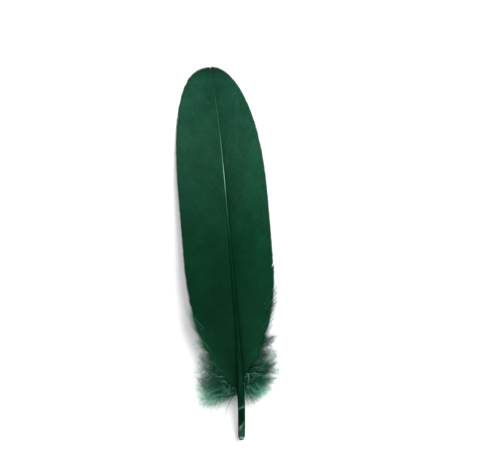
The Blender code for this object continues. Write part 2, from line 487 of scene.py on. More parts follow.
@dataclass(frozen=True)
class Shaft:
    """The bare quill and the shaft that runs on from it between the vanes.

    Attributes:
        crowding, spread_power: how much closer the rings stand at the quill's end.
        end_round, nose_share: over what length the end is rounded, and its width there.
        hole_rings: each ring's share of the small hole's depth and of its radius.
        tip_taper, tip_thin: over what length the tip thins out, and what is left of it.
        rise, drop: the height above and the depth below the middle, by the half width.
        round_until, ridge_from: the shares between which it turns from round to ridged.
        groove_share, groove_spread: how deep the groove below is, and how wide.
        waver_rings, waver_lobes: the length and the number of the skin's uneven places.
    """

    form: FeatherForm
    rings: int = 440
    sides: int = 32
    crowding: float = 0.35
    spread_power: float = 1.05
    end_round: float = 2.4 * MM
    nose_share: float = 0.32
    hole_radius: float = 0.45 * MM
    hole_depth: float = 1.6 * MM
    hole_rings: tuple[Pair, ...] = ((1.0, 0.3), (0.5, 0.85), (0.0, 1.0))
    tip_share: float = 0.994
    tip_taper: float = 4.0 * MM
    tip_thin: float = 0.25
    rise: float = 0.85
    drop: float = 1.30
    round_until: float = 0.12
    ridge_from: float = 0.24
    groove_share: float = 0.45
    groove_spread: float = 0.25
    waver: float = 0.02 * MM
    waver_rings: float = 14.0
    waver_lobes: float = 3.0
    waver_phase: float = 0.7
    floor: float = 0.02 * MM
    seed: int = 11

    def stations(self) -> Array:
        """Places the rings, close together at the rounded quill end.

        Returns:
            The distance of each from the quill's end.
        """
        even = np.linspace(0.0, 1.0, self.rings)
        spread = self.crowding * even**2 + (1.0 - self.crowding) * even**self.spread_power
        return self.form.length * self.tip_share * spread

    def radii(self, along: Array) -> Array:
        """Rounds the shaft off at the quill's end and at the tip.

        Args:
            along: the distance of each ring from the quill's end.

        Returns:
            Half the shaft's width at each.
        """
        half = 0.5 * self.form.shaft_width(along / self.form.length)
        end = np.clip(along / self.end_round, 0.0, 1.0)
        nose = self.nose_share + (1.0 - self.nose_share) * np.sqrt(1.0 - (1.0 - end) ** 2)
        left = np.clip((self.form.length * self.tip_share - along) / self.tip_taper, 0.0, 1.0)
        return half * nose * (self.tip_thin + (1.0 - self.tip_thin) * np.sqrt(left))

    def build(self) -> bpy.types.Object:
        """Sweeps the shaft's section along the arch, from the small hole in the quill's end.

        Returns:
            The shaft.
        """
        form = self.form
        draw = np.random.default_rng(self.seed)
        along = self.stations()
        t = along / form.length
        half = self.radii(along)
        turn = 2.0 * np.pi * np.arange(self.sides) / self.sides
        across, up = np.cos(turn)[None, :], np.sin(turn)[None, :]
        ridge = smooth((t - self.round_until) / (self.ridge_from - self.round_until))[:, None]
        ratio = 1.0 + (np.where(up > 0.0, self.rise, self.drop) - 1.0) * ridge
        groove = np.where(up < 0.0, np.exp(-((across / self.groove_spread) ** 2)), 0.0)
        ratio = ratio * (1.0 - self.groove_share * groove * ridge)
        lobes = np.sin(self.waver_lobes * turn + self.waver_phase)
        waver = np.outer(drift(self.rings, self.waver_rings, draw), lobes)
        waver = 1.0 + (self.waver / half[:, None]) * waver
        x = form.quill_x + form.shaft_side(t)[:, None] + half[:, None] * across * waver
        z = form.shaft_height(t)[:, None] + half[:, None] * up * ratio * waver
        y = np.broadcast_to((form.quill_y + along)[:, None], x.shape)
        rings = np.stack([x, y, np.maximum(z, self.floor)], axis=-1)
        hole = self.hole(rings[0].mean(axis=0), turn)
        rings = np.concatenate([hole, rings])[None]
        # In the hole the place is before the quill's end, which keeps the scuffs out of it.
        places = np.concatenate([np.full(len(hole), -1.0 * MM), along])[:, None]
        facts = np.stack(np.broadcast_arrays(places / MM, np.maximum(up, 0.0), across), axis=-1)
        mesh = MeshBuilder(1, 1)
        mesh.add_tubes(rings, facts[None])
        return mesh.build("shaft")

    def hole(self, centre: Array, turn: Array) -> Array:
        """Rings that line the small hole in the quill's end, deepest first.

        Args:
            centre: the middle of the quill's first ring.
            turn: the angle of each corner of a ring.

        Returns:
            The rings' points.
        """
        shares = np.array(self.hole_rings)
        depths, radii = self.hole_depth * shares[:, 0], self.hole_radius * shares[:, 1]
        x = centre[0] + radii[:, None] * np.cos(turn)
        z = centre[2] + radii[:, None] * np.sin(turn)
        y = np.broadcast_to((centre[1] + depths)[:, None], x.shape)
        return np.stack([x, y, z], axis=-1)


@dataclass(frozen=True)
class Split:
    """A place where two barbs of a vane have come apart.

    Attributes:
        root: where the barbs leave the shaft, as a share of the length.
        start: how far along the barbs the gap opens, as a share of their run.
        gap: how wide it is at the margin.
    """

    root: float
    start: float
    gap: float


@dataclass(frozen=True)
class Vane:
    """The barbs of one vane, each a thin closed strip that overlaps the next.

    Attributes:
        pitch, pitch_jitter: the distance between barbs on the shaft, and how it varies.
        crowding: more than 1 sets the rings further apart at the shaft than at the margin.
        tuck, tuck_run: how far a barb starts inside the shaft, by its half width, and
            over what run it comes out.
        overlap: a strip's width, by the distance to the next.
        crest_offset: how far the crest of a strip lies off its middle, by its half width.
        shingle: how far each edge lies above or below the middle.
        loose_tips: how much longer a loosened barb's tapered end is.
        thin_run, thin_share: the run before the end over which a barb gets lower, and
            what is left at the end.
        lock_barbs, lock_relief: how many barbs hold together, and how proud they lie.
        single: how far each barb alone lies up or down.
        reach_loss, reach_barbs, reach_single: how uneven the margin is.
        fray, fray_swing, fray_until: how far the lowest barbs' lengths vary, and where
            that fades.
        stray, stray_run: how far their ends stray aside, and over what run.
        split_falloff: over how many barbs a split closes.
    """

    form: FeatherForm
    side: Side
    splits: tuple[Split, ...]
    pitch: float = 0.52 * MM
    pitch_jitter: float = 0.08
    last_root: float = 0.995
    rings: int = 24
    crowding: float = 1.15
    tuck: float = 0.35
    tuck_run: float = 1.0 * MM
    overlap: float = 1.28
    ridge: float = 0.075 * MM
    ridge_swing: Pair = (0.75, 1.25)
    crest_offset: float = 0.15
    keel: float = 0.11 * MM
    shingle: float = 0.03 * MM
    free_tip: float = 1.3 * MM
    tip_share: float = 0.12
    loose_tips: float = 3.5
    thin_run: float = 12.0 * MM
    thin_share: float = 0.75
    lock_barbs: float = 9.0
    lock_relief: float = 0.08 * MM
    fine_barbs: float = 3.0
    fine_share: float = 0.3
    ripple: float = 0.25 * MM
    ripple_barbs: float = 45.0
    ripple_run: float = 7.0 * MM
    ripple_phase: float = 1.3
    single: float = 0.012 * MM
    reach_loss: float = 0.010
    reach_barbs: float = 3.0
    reach_single: float = 0.6
    shortest: float = 0.3 * MM
    fray: float = 2.2 * MM
    fray_swing: Pair = (-0.5, 1.0)
    fray_until: Pair = (0.16, 0.34)
    stray: float = 0.55 * MM
    stray_run: float = 4.0 * MM
    split_falloff: float = 5.0
    rest: float = 0.16 * MM
    seed: int = 3

    def build(self) -> bpy.types.Object:
        """Makes every barb of the vane, from the shaft's flank to the margin.

        Returns:
            The vane.
        """
        form = self.form
        draw = np.random.default_rng(self.seed + self.side.value)
        start = form.of_side(form.vane_starts, self.side) * form.length
        count = int((self.last_root * form.length - start) / self.pitch)
        root = (start + self.pitch * np.arange(count))[:, None]
        root = root + self.pitch_jitter * self.pitch * draw.uniform(-1.0, 1.0, (count, 1))
        full = form.barb_run(self.side, root)
        loss = drift(count, self.reach_barbs, draw)
        loss = loss + draw.uniform(-self.reach_single, self.reach_single, count)
        loss = self.reach_loss * np.abs(loss)
        first, last = self.fray_until
        loose = 1.0 - smooth((root / form.length - first) / (last - first))
        fray = self.fray * loose * draw.uniform(*self.fray_swing, (count, 1))
        full = np.maximum(full * (1.0 - loss[:, None]) + fray, self.shortest)
        share = np.linspace(0.0, 1.0, self.rings)[None, :]
        share = 1.0 - (1.0 - share) ** self.crowding
        run = full * share
        out, along = form.barb_arc(root, run)
        flank = 0.5 * form.shaft_width(root / form.length)
        height = form.vane_height(out - flank, along)
        height = height + self.waves(count, share, run, draw)
        out = out - self.tuck * flank * (1.0 - smooth(run / self.tuck_run))
        line = form.place(self.side, out, along, np.maximum(height, self.rest))
        toward_tip, up, spacing = self.frames(line)
        line = line + toward_tip * self.gaps(root[:, 0], share)[..., None]
        line = line + toward_tip * self.loose_ends(loose, full - run, draw)[..., None]
        rings = self.sections(line, toward_tip, up, spacing, full - run, loose, draw)
        number = np.arange(count, dtype=float)[:, None]
        facts = np.stack(np.broadcast_arrays(run / MM, number, share), axis=-1)
        mesh = MeshBuilder(1, count)
        mesh.add_tubes(rings, facts)
        return mesh.build(f"vane_{self.side.name.lower()}")

    def waves(self, count: int, share: Array, run: Array, draw: np.random.Generator) -> Array:
        """The unevenness of the vane: locks that lie a little proud, and slow ripples.

        Args:
            count: the number of barbs.
            share: the place along a barb, 0 to 1.
            run: the distance along each barb.
            draw: the random source.

        Returns:
            A height to add at each point of each barb.
        """
        lock = drift(count, self.lock_barbs, draw)[:, None]
        fine = drift(count, self.fine_barbs, draw)[:, None]
        slow = drift(count, self.ripple_barbs, draw)[:, None]
        lock = (1.0 - self.fine_share) * lock + self.fine_share * fine
        locks = self.lock_relief * lock * np.sqrt(share)
        wave = np.sin(run / self.ripple_run + self.ripple_phase)
        ripples = self.ripple * slow * share**2 * wave
        single = self.single * draw.uniform(-1.0, 1.0, (count, 1))
        return locks + ripples + single

    def frames(self, line: Array) -> tuple[Array, Array, Array]:
        """The directions and the spacing at each point of each barb.

        Args:
            line: the barbs' middle lines.

        Returns:
            The direction to the next barb, the direction up, and the distance to the next.
        """
        forward = unit(np.gradient(line, axis=1))
        step = np.gradient(line, axis=0)
        step = step - forward * np.sum(step * forward, axis=-1, keepdims=True)
        spacing = np.linalg.norm(step, axis=-1)
        toward_tip = unit(step)
        up = self.side.value * np.cross(forward, toward_tip)
        return toward_tip, up, spacing

    def gaps(self, root: Array, share: Array) -> Array:
        """How far each barb has moved aside where the vane has split.

        Args:
            root: where each barb leaves the shaft.
            share: the place along a barb, 0 to 1.

        Returns:
            The distance towards the tip at each point of each barb.
        """
        moved = np.zeros((len(root), share.shape[1]))
        for split in self.splits:
            away = (root - split.root * self.form.length) / self.pitch
            opened = 0.5 * split.gap * np.sign(away) * np.exp(-np.abs(away) / self.split_falloff)
            moved += opened[:, None] * smooth((share - split.start) / (1.0 - split.start))
        return moved

    def loose_ends(self, loose: Array, left: Array, draw: np.random.Generator) -> Array:
        """How far the free ends of the lowest barbs stray to one side.

        Args:
            loose: how loose each barb is, 0 to 1.
            left: the distance that is left to the barb's end.
            draw: the random source.

        Returns:
            The distance towards the tip at each point of each barb.
        """
        near_end = np.clip(1.0 - left / self.stray_run, 0.0, 1.0) ** 2
        return loose * near_end * draw.normal(0.0, self.stray, (len(left), 1))

    def sections(
        self, line: Array, toward_tip: Array, up: Array, spacing: Array, left: Array,
        loose: Array, draw: np.random.Generator,
    ) -> Array:
        """Puts a flat kite of four corners round each point of each barb.

        Args:
            line: the barbs' middle lines.
            toward_tip: the direction to the next barb.
            up: the direction up from the vane.
            spacing: the distance to the next barb.
            left: the distance that is left to the barb's end.
            loose: how loose each barb is, 0 to 1.
            draw: the random source.

        Returns:
            The rings' points.
        """
        free = self.free_tip * (1.0 + self.loose_tips * loose)
        taper = self.tip_share + (1.0 - self.tip_share) * smooth(left / free)
        width = (0.5 * self.overlap * spacing * taper)[..., None]
        thin = self.thin_share + (1.0 - self.thin_share) * smooth(left / self.thin_run)
        body = (taper * thin)[..., None]
        proud = self.ridge * draw.uniform(*self.ridge_swing, (len(line), 1, 1)) * body
        near = line - toward_tip * width - up * self.shingle
        crest = line - toward_tip * self.crest_offset * width + up * proud
        far = line + toward_tip * width + up * self.shingle
        keel = line - up * self.keel * body
        order = (near, keel, far, crest) if self.side is Side.LEFT else (near, crest, far, keel)
        return np.stack(order, axis=2)


@dataclass(frozen=True)
class DownRow:
    """A row of downy barbs along one side of the shaft.

    Attributes:
        name: the row's name.
        side: the side of the shaft.
        barbs: how many it has.
        roots: where its first and last barb leave the shaft, as shares of the length.
        lengths: how long the first and the last barb are.
        headings: the angles from the tip's direction at which those two start, in degrees.
        curls: the least and the most that a barb turns on its way, in degrees.
        barbules: how many barbules a barb has.
        barbule_length: how long the longest of them are.
        thickness: how thick a barb is at its root.
        paleness: how much of the pale strands' colour a barb has, 0 to 1.
        shade: how much darker than the rest the row is, as painted shade; less than 0 is paler.
        waviness: how much of the usual waves its barbs have.
    """

    name: str
    side: Side
    barbs: int
    roots: Pair
    lengths: Pair
    headings: Pair = (0.0, 0.0)
    curls: Pair = (0.0, 0.0)
    barbules: int = 126
    barbule_length: float = 2.3 * MM
    thickness: float = 0.22 * MM
    paleness: float = 1.0
    shade: float = 0.0
    waviness: float = 1.0


@dataclass(frozen=True)
class Down:
    """One row of loose downy barbs, each with two rows of long, limp barbules.

    Real barbules are near 0.015 mm thick, which no pixel would catch. So they are
    drawn thicker here, and a few bold ones are thicker and longer still.

    Attributes:
        heavies, taper: the range of the barbs' thickness, and how far they thin out.
        sink, sink_rate: how far below the shaft's middle they start, by its width, and
            how soon they are down at their end's height.
        end_heights, end_power, hump: where they end, by the height of their start, and
            how far they rise or hang on the way, in mm.
        root_offset: how far beside the shaft's middle they start, by its width.
        bold_least: the paleness that a row needs to have bold barbules.
        barbule_thinning: the barbules' thickness at the barb's root, and how it falls.
        barbule_span, barbule_crowding: where on the barb they stand.
        room: their least length at a barb's ends, and how fast it grows from there.
        leans, roll, bends, bend_spread: how they stand off the barb, and how they bend.
        length_draw, longest: the spread of their lengths, and the most that may be.
        hang: how far below the barb they start.
        tone_spread, dye_reach: how their tone differs from the barb's, and how much
            further along the dye they end.
    """

    form: FeatherForm
    row: DownRow
    rings: int = 22
    sides: int = 3
    root_jitter: float = 0.03
    heading_spread: float = 8.0
    length_swing: Pair = (0.5, 1.08)
    wobble: float = math.radians(24.0)
    wobble_beats: Pair = (0.5, 2.4)
    kink: float = math.radians(16.0)
    kink_beats: Pair = (3.0, 6.0)
    taper: float = 0.7
    heavies: Pair = (0.6, 1.5)
    root_offset: float = 0.3
    sink: float = 0.25
    sink_rate: float = 1.1
    end_heights: Pair = (0.05, 0.8)
    end_power: float = 1.3
    hump: Pair = (-0.3, 1.1)
    bold_share: float = 0.045
    bold_length: float = 4.8 * MM
    bold_thickness: float = 2.4
    bold_least: float = 0.5
    barbule_thickness: float = 0.066 * MM
    barbule_profile: tuple[float, ...] = (1.0, 0.9, 0.65, 0.2)
    barbule_thinning: Pair = (1.35, 0.55)
    barbule_angle: float = math.radians(56.0)
    barbule_span: Pair = (0.01, 0.985)
    barbule_crowding: float = 1.2
    barbule_jitter: float = 0.005
    room: Pair = (0.35, 0.6)
    leans: Pair = (0.3, 1.5)
    roll: float = 0.5
    bends: Pair = (-0.2, 0.5)
    bend_spread: float = 0.5
    length_draw: Pair = (-0.05, 0.42)
    longest: float = 1.9
    hang: tuple[float, float, float] = (0.0, 0.0, 0.10 * MM)
    tone_spread: float = 0.3
    dye_reach: float = 0.12
    low: float = 0.25 * MM
    vane_gap: float = 0.35 * MM
    highest: float = 11.4 * MM
    seed: int = 21

    def build(self) -> bpy.types.Object:
        """Makes the downy barbs and their barbules.

        Returns:
            The row.
        """
        draw = np.random.default_rng(self.seed + sum(map(ord, self.row.name)))
        line, share = self.lines(draw)
        # Painted shade: a row's shade darkens all its strands.
        tone = draw.uniform(-1.0, 1.0, (self.row.barbs, 1)) - self.row.shade
        cells = int(math.ceil(math.sqrt(self.row.barbs * (self.row.barbules + 1))))
        mesh = MeshBuilder(cells, cells)
        heavy = draw.uniform(*self.heavies, (self.row.barbs, 1))
        thickness = self.row.thickness * heavy * (1.0 - self.taper * share)
        self.add_strands(mesh, line, thickness, share, tone, self.row.paleness)
        base, forward, places, room = self.barbule_roots(line - self.hang, draw)
        bold_share = self.bold_share * (self.row.paleness > self.bold_least)
        bold = draw.random(len(base)) < bold_share
        strands = self.barbule_lines(base, forward, room, bold, draw)
        slim = self.barbule_thickness * np.array([self.barbule_profile])
        first, fall = self.barbule_thinning
        slim = slim * np.where(bold, self.bold_thickness, first - fall * places)[:, None]
        own = np.repeat(tone[:, 0], self.row.barbules)
        own = own + draw.normal(0.0, self.tone_spread, len(base))
        place = places[:, None] + self.dye_reach * np.linspace(0.0, 1.0, slim.shape[1])
        self.add_strands(mesh, strands, slim, place, own[:, None], 1.0 * bold[:, None])
        return mesh.build(f"down_{self.row.side.name.lower()}_{self.row.name}")

    def lines(self, draw: np.random.Generator) -> tuple[Array, Array]:
        """The middle lines of the downy barbs.

        Args:
            draw: the random source.

        Returns:
            The lines' points, and the share of the run at each ring.
        """
        form, row = self.form, self.row
        order = np.linspace(0.0, 1.0, row.barbs)
        jitter = draw.uniform(-self.root_jitter, self.root_jitter, row.barbs)
        order = np.clip(order + jitter, 0.0, 1.0)
        root = form.length * (row.roots[0] + (row.roots[1] - row.roots[0]) * order)
        first, last = row.headings
        heading = first + (last - first) * order
        heading = np.radians(heading + draw.normal(0.0, self.heading_spread, row.barbs))
        length = row.lengths[0] + (row.lengths[1] - row.lengths[0]) * order
        length = length * draw.uniform(*self.length_swing, row.barbs)
        share = np.linspace(0.0, 1.0, self.rings)[None, :]
        curl = np.radians(draw.uniform(*row.curls, (row.barbs, 1)))
        phase = draw.uniform(0.0, 2.0 * np.pi, (row.barbs, 1))
        beats = draw.uniform(*self.wobble_beats, (row.barbs, 1))
        swing = self.wobble * (np.sin(2.0 * np.pi * beats * share + phase) - np.sin(phase))
        beats = draw.uniform(*self.kink_beats, (row.barbs, 1))
        kinks = self.kink * np.sin(2.0 * np.pi * beats * share + 2.0 * phase)
        way = heading[:, None] + curl * share + (swing + kinks) * share * row.waviness
        stride = (length / (self.rings - 1))[:, None]
        out = np.cumsum(np.sin(way) * stride, axis=1) - np.sin(way[:, :1]) * stride
        back = np.cumsum(np.cos(way) * stride, axis=1) - np.cos(way[:, :1]) * stride
        t = root / form.length
        width = form.shaft_width(t)
        top = form.shaft_height(t) - self.sink * width
        end = draw.uniform(*self.end_heights, row.barbs) ** self.end_power * top
        height = top[:, None] + (end - top)[:, None] * smooth(share * self.sink_rate)
        hump = draw.uniform(*self.hump, (row.barbs, 1)) * MM * np.sin(np.pi * share)
        start_x = form.quill_x + form.shaft_side(t)[:, None]
        x = start_x + row.side.value * (out + self.root_offset * width[:, None])
        y = form.quill_y + root[:, None] + back
        line = np.stack([x, y, height + hump], axis=-1)
        return self.settle(line, 2.0 * self.vane_gap), share

    def settle(self, points: Array, gap: float) -> Array:
        """Moves points clear of the vane above them and of the table.

        Args:
            points: points in the row frame.
            gap: the room left below the vane.

        Returns:
            The moved points.
        """
        points = self.form.under_vane(self.row.side, points, gap, self.low)
        return np.concatenate([points[..., :2], np.minimum(points[..., 2:], self.highest)], axis=-1)

    def barbule_roots(
        self, line: Array, draw: np.random.Generator
    ) -> tuple[Array, Array, Array, Array]:
        """Where the barbules leave the downy barbs.

        Args:
            line: the barbs' middle lines.
            draw: the random source.

        Returns:
            The roots, the barb's direction there, the share of the barb's run, and
            how long a barbule is there as a share of the longest.
        """
        barbs, barbules = self.row.barbs, self.row.barbules
        share = np.linspace(*self.barbule_span, barbules)[None, :] ** self.barbule_crowding
        jitter = self.barbule_jitter
        share = share + draw.uniform(-jitter, jitter, (barbs, barbules))
        place = share * (self.rings - 1)
        near = np.clip(place.astype(int), 0, self.rings - 2)
        blend = (place - near)[..., None]
        barb = np.arange(barbs)[:, None]
        base = line[barb, near] * (1.0 - blend) + line[barb, near + 1] * blend
        forward = unit(line[barb, near + 1] - line[barb, near])
        least, power = self.room
        room = least + (1.0 - least) * np.sin(np.pi * np.clip(share, 0.0, 1.0)) ** power
        return base.reshape(-1, 3), forward.reshape(-1, 3), share.ravel(), room.ravel()

    def barbule_lines(
        self, base: Array, forward: Array, room: Array, bold: Array, draw: np.random.Generator
    ) -> Array:
        """The middle lines of the barbules, each in a gentle bend.

        Args:
            base: the barbules' roots.
            forward: the barb's direction at each root.
            room: how long each barbule is as a share of the longest.
            bold: which are the few long, thick ones.
            draw: the random source.

        Returns:
            The lines' points.
        """
        count = len(base)
        level = unit(np.cross(forward, np.array([0.0, 0.0, 1.0])))
        above = np.cross(level, forward)
        row = np.where(np.arange(count) % 2 == 0, 1.0, -1.0)[:, None]
        roll = draw.normal(0.0, self.roll, (count, 1))
        aside = row * (level * np.cos(roll) + above * np.sin(roll))
        lean = self.barbule_angle * draw.uniform(*self.leans, (count, 1))
        heading = forward * np.cos(lean) + aside * np.sin(lean)
        bend = forward * draw.uniform(*self.bends, (count, 1))
        bend = bend + draw.normal(0.0, self.bend_spread, (count, 3))
        length = np.minimum(draw.lognormal(*self.length_draw, count), self.longest)
        length = self.row.barbule_length * room * length
        length = np.where(bold, self.bold_length * room**2, length)
        reach = np.linspace(0.0, 1.0, len(self.barbule_profile))[None, :, None]
        path = heading[:, None, :] * reach + bend[:, None, :] * reach**2
        points = base[:, None, :] + path * length[:, None, None]
        return self.settle(points, self.vane_gap)

    def add_strands(
        self, mesh: MeshBuilder, line: Array, thickness: Array, share: Array, tone: Array,
        kind: Array | float,
    ) -> None:
        """Adds a thin tube along each line.

        Args:
            mesh: the mesh that takes them.
            line: the lines' points.
            thickness: how thick each tube is at each ring.
            share: how far along the barb each ring is, for the material.
            tone: how pale each tube is, from -1 to 1 as a rule, for the material.
            kind: 1 for a pale strand and 0 for a green one, for the material.
        """
        forward = unit(np.gradient(line, axis=1))
        # Nearly upright, so that a strand which stands upright isn't along it.
        level = unit(np.cross(forward, np.array([0.13, 0.07, 1.0])))
        above = np.cross(forward, level)
        turn = 2.0 * np.pi * np.arange(self.sides) / self.sides
        radius = 0.5 * np.broadcast_to(thickness, line.shape[:2])[..., None, None]
        cosine, sine = np.cos(turn)[:, None], np.sin(turn)[:, None]
        rings = line[:, :, None, :] + radius * (
            level[:, :, None, :] * cosine + above[:, :, None, :] * sine
        )
        facts = [np.broadcast_to(fact, line.shape[:2]) for fact in (share, tone, kind)]
        mesh.add_tubes(rings, np.stack(facts, axis=-1))


@dataclass(frozen=True)
class LooseBarbs(Down):
    """The lowest barbs of a vane, which have come unhooked and fray past its margin.

    They follow the vane's own barbs, just above them, and sink beyond the margin.
    The row's lengths are the least and the most that they reach past it.

    Attributes:
        starts: where on the vane's barb they come loose, as shares of its run.
        rise, rises, rise_rate: how far they rise, how that varies, and how soon.
        droop: how fast they sink beyond the margin.
        aside, wave, wave_beats: how far they stray, and their waves by that.
        cover: the most height over the vane.
    """

    starts: Pair = (0.60, 0.92)
    rise: float = 0.16 * MM
    rises: Pair = (0.3, 1.6)
    rise_rate: float = 5.0
    droop: float = 0.05 / MM
    aside: float = 0.9 * MM
    wave: float = 0.35
    wave_beats: Pair = (0.8, 2.5)
    cover: float = 0.5 * MM

    def lines(self, draw: np.random.Generator) -> tuple[Array, Array]:
        """The middle lines of the loose barbs.

        Args:
            draw: the random source.

        Returns:
            The lines' points, and the share of the run at each ring.
        """
        form, row = self.form, self.row
        root = form.length * draw.uniform(*row.roots, (row.barbs, 1))
        full = form.barb_run(row.side, root)
        past = draw.uniform(*row.lengths, (row.barbs, 1))
        share = np.linspace(0.0, 1.0, self.rings)[None, :]
        start = full * draw.uniform(*self.starts, (row.barbs, 1))
        run = start + (full + past - start) * share
        out, along = form.barb_arc(root, run)
        flank = 0.5 * form.shaft_width(root / form.length)
        beyond = np.maximum(run - full, 0.0)
        lift = self.rise * draw.uniform(*self.rises, (row.barbs, 1))
        lift = lift * smooth(self.rise_rate * share)
        height = form.vane_height(out - flank, along) + lift - self.droop * beyond**2
        stray = self.aside * draw.normal(0.0, 1.0, (row.barbs, 1)) * share**2
        beats = draw.uniform(*self.wave_beats, (row.barbs, 1))
        wave = self.wave * self.aside * np.sin(2.0 * np.pi * beats * share) * share
        line = form.place(row.side, out + wave, along + stray, height)
        return self.settle(line, 0.0), share

    def settle(self, points: Array, gap: float) -> Array:
        """Keeps points close over the vane, and above the table.

        Args:
            points: points in the row frame.
            gap: not used here.

        Returns:
            The moved points.
        """
        form = self.form
        along = points[..., 1] - form.quill_y
        t = along / form.length
        out = self.row.side.value * (points[..., 0] - form.quill_x - form.shaft_side(t))
        roof = form.vane_height(np.maximum(out - 0.5 * form.shaft_width(t), 0.0), along)
        height = np.clip(points[..., 2], self.low, roof + self.cover)
        return np.concatenate([points[..., :2], height[..., None]], axis=-1)


def add_node(
    tree: bpy.types.NodeTree, kind: str, links: dict[Any, Any] | tuple[Any, ...] = (),
    out: Any = 0, stops: Stops = (), **settings: Any,
) -> Any:
    """Adds a shader node, sets it up and links it.

    Args:
        tree: the node tree.
        kind: the node's type name, without its "ShaderNode".
        links: values or other nodes' outputs, in the order of the inputs or by name or number.
        out: the name or number of the wanted output, or None for all of them.
        stops: a colour ramp's places from 0 to 1, with their hex colours.
        settings: the node's own properties.

    Returns:
        The wanted output.
    """
    made = tree.nodes.new("ShaderNode" + kind)
    for name, value in settings.items():
        setattr(made, name, value)
    for name, value in links.items() if isinstance(links, dict) else enumerate(links):
        if isinstance(value, bpy.types.NodeSocket):
            tree.links.new(value, made.inputs[name])
        else:
            made.inputs[name].default_value = value
    while stops and len(made.color_ramp.elements) < len(stops):
        made.color_ramp.elements.new(0.5)
    for number, (place, code) in enumerate(stops):
        made.color_ramp.elements[number].position = place
        made.color_ramp.elements[number].color = linear(code)
    return made.outputs if out is None else made.outputs[out]


def bare_material(name: str) -> tuple[bpy.types.Material, bpy.types.NodeTree]:
    """Starts a material.

    Args:
        name: the material's name.

    Returns:
        The new material, and its node tree, which is empty.
    """
    material = bpy.data.materials.new(name)
    material.use_nodes = True
    material.node_tree.nodes.clear()
    return material, material.node_tree


@dataclass(frozen=True)
class Mottle:
    """An uneven patch in the dye: its size, how bent its rim is, and how far it swings."""

    size: float
    bend: float
    swing: float


